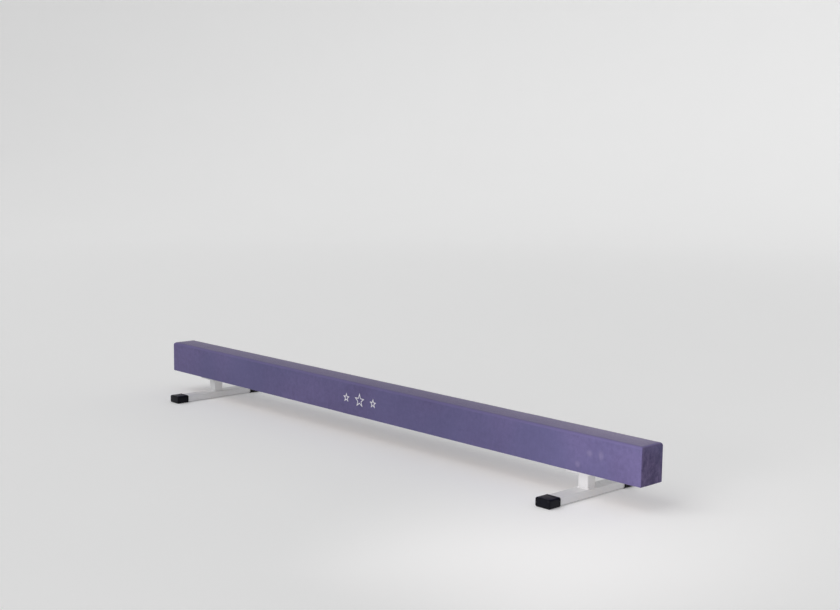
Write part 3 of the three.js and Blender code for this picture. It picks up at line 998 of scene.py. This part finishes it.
def countersunk_bolt(end, number):
    """A countersunk bolt pointing up, with a chamfered hexagon socket in its flat face."""
    node = f"{end}_bolt_{number}"
    low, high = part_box(node)
    head = (high.x - low.x) / 2
    length = high.z - low.z
    centre = middle(low, high)

    def level(outline, height):
        return ring(outline, Vector((centre.x, centre.y, low.z + height)))

    socket = hexagon_outline(SOCKET_FLATS)
    rings = [level(socket, SOCKET_DEPTH), level(socket, SOCKET_CHAMFER)]
    turned = [(SOCKET_FLATS * 0.62, 0), (head - 2 * HEAD_EASE, 0), (head, HEAD_EASE), (head, HEAD_LAND)]
    turned += [(SHANK_RADIUS, HEAD_LAND + head - SHANK_RADIUS), (SHANK_RADIUS, length - TIP_CHAMFER)]
    turned.append((SHANK_RADIUS - 0.9 * TIP_CHAMFER, length))
    rings += [level(circle_outline(radius), height) for radius, height in turned]
    skin = Skin()
    skin.loft(rings)
    piece = skin.piece(f"{node}_countersunk", ZINC, crease=25)
    return stands_for(piece, "zinc_steel", node)


def leg(end):
    """All the pieces of one leg."""
    mounting_plate(end)
    square_tube(end, "post", Z)
    square_tube(end, "foot_tube", Y)
    weld_bead(end, "foot_weld", -1)
    weld_bead(end, "plate_weld", 1)
    for where in ("front", "rear"):
        foot_cap(end, where)
    for number in range(1, 5):
        countersunk_bolt(end, number)


# ---- The studio: camera, lights and floor -------------------------------------------------------

CAMERA_PLACE = (3.3915, -2.99, 1.0716)
CAMERA_HEADING = 46.55  # degrees, anticlockwise from +Y
CAMERA_DIP = 7.40  # degrees below level
CAMERA_ROLL = 0.76
LENS = 55.27  # mm, on a 36 mm sensor
KEY_PLACE = (1.35, -1.5, 0.43)
KEY_TARGET = (1.25, 0, 0.13)
KEY_SPREAD = 50  # degrees


def camera():
    """Stands off the right end's front corner and looks along the beam."""
    lens = bpy.data.cameras.new("camera")
    lens.sensor_width = 36
    lens.lens = LENS
    view = bpy.data.objects.new("camera", lens)
    heading = Matrix.Rotation(math.radians(CAMERA_HEADING), 4, "Z")
    tilt = Matrix.Rotation(math.radians(90 - CAMERA_DIP), 4, "X")
    roll = Matrix.Rotation(math.radians(CAMERA_ROLL), 4, "Z")
    view.matrix_world = Matrix.Translation(CAMERA_PLACE) @ heading @ tilt @ roll
    bpy.context.scene.collection.objects.link(view)
    bpy.context.scene.camera = view


def softbox(name, place, target, size, power, colour):
    """A rectangular lamp at a place, turned to its target."""
    light = bpy.data.lights.new(name, "AREA")
    light.shape = "RECTANGLE"
    light.size, light.size_y = size
    light.energy = power
    light.spread = math.radians(KEY_SPREAD)
    light.color = colour
    lamp = bpy.data.objects.new(name, light)
    lamp.matrix_world = Matrix.Translation(place) @ aim(Vector(target) - Vector(place))
    lamp.visible_camera = False
    bpy.context.scene.collection.objects.link(lamp)


def aim(direction):
    """The turn that points a lamp along a direction."""
    return direction.to_track_quat("-Z", "Y").to_matrix().to_4x4()


def broad_light(name, heading, strength, spread):
    """Even light over the whole studio, as from a large window wall, with soft shadows."""
    light = bpy.data.lights.new(name, "SUN")
    light.energy = strength
    light.angle = math.radians(spread)
    lamp = bpy.data.objects.new(name, light)
    lamp.matrix_world = aim(Vector(heading))
    bpy.context.scene.collection.objects.link(lamp)


def sky(strength):
    """White light from all round."""
    world = bpy.data.worlds.new("studio")
    world.use_nodes = True
    background = world.node_tree.nodes["Background"]
    background.inputs["Color"].default_value = (1, 1, 1, 1)
    background.inputs["Strength"].default_value = strength
    bpy.context.scene.world = world


def studio_floor():
    """A pale round floor that curves up into a wall, so that no horizon shows."""
    shader = Shader("studio_floor", Roughness=0.7, Emission_Strength=0.07)
    shader.surface.inputs["Emission Color"].default_value = (1, 1, 1, 1)
    tone = shader.noise(600 * MM, detail=2)
    paint = shader.finish(shader.mix(tone, (0.94, 0.94, 0.94), (0.96, 0.96, 0.96)))
    flat, rise, sides = 9, 4, 96
    profile = [(0.001, 0), (3, 0), (6, 0)]
    for turn in quarter_turn(12):
        profile.append((flat + rise * math.sin(turn), rise * (1 - math.cos(turn))))
    rows = []
    skin = Skin()
    for radius, height in profile:
        rows.append(skin.row(ring(circle_outline(radius, sides), Z * height)))
    for first, second in zip(rows, rows[1:]):
        skin.faces += bridge(second, first)
    skin.faces.append(tuple(rows[0]))
    mesh = skin.mesh("studio_floor", closed=False)
    mesh.materials.append(paint)
    for polygon in mesh.polygons:
        polygon.use_smooth = True
    floor = bpy.data.objects.new("studio_floor", mesh)
    bpy.context.scene.collection.objects.link(floor)


def studio():
    """Even light, and a low key light on the near end of the front side."""
    camera()
    sky(0.42)
    broad_light("front_light", (0.2, 0.66, -0.72), strength=0.95, spread=50)
    broad_light("rear_fill", (-0.1, -1, -0.12), strength=0.4, spread=40)
    softbox("key", KEY_PLACE, KEY_TARGET, size=(0.8, 0.35), power=1.05, colour=(1, 0.95, 0.95))
    studio_floor()
    bpy.context.scene.view_settings.view_transform = "Standard"


# ---- Assembly -----------------------------------------------------------------------------------


def carried_over():
    """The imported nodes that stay, in better materials."""
    for node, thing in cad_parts.items():
        if node.startswith("core_plank"):
            thing.data.materials[0] = TIMBER
        if "_insert_" in node:
            thing.data.materials[0] = ZINC


studio()
carried_over()
wrap = suede_wrap()
star_mark(wrap)
for foam_node in ("top_foam", "front_foam", "rear_foam"):
    foam_strip(foam_node)
long_staples("front_staples", -1)
long_staples("rear_staples", 1)
for end_name in ENDS:
    end_panel(end_name)
    end_foam(end_name)
    end_staples(end_name)
    leg(end_name)
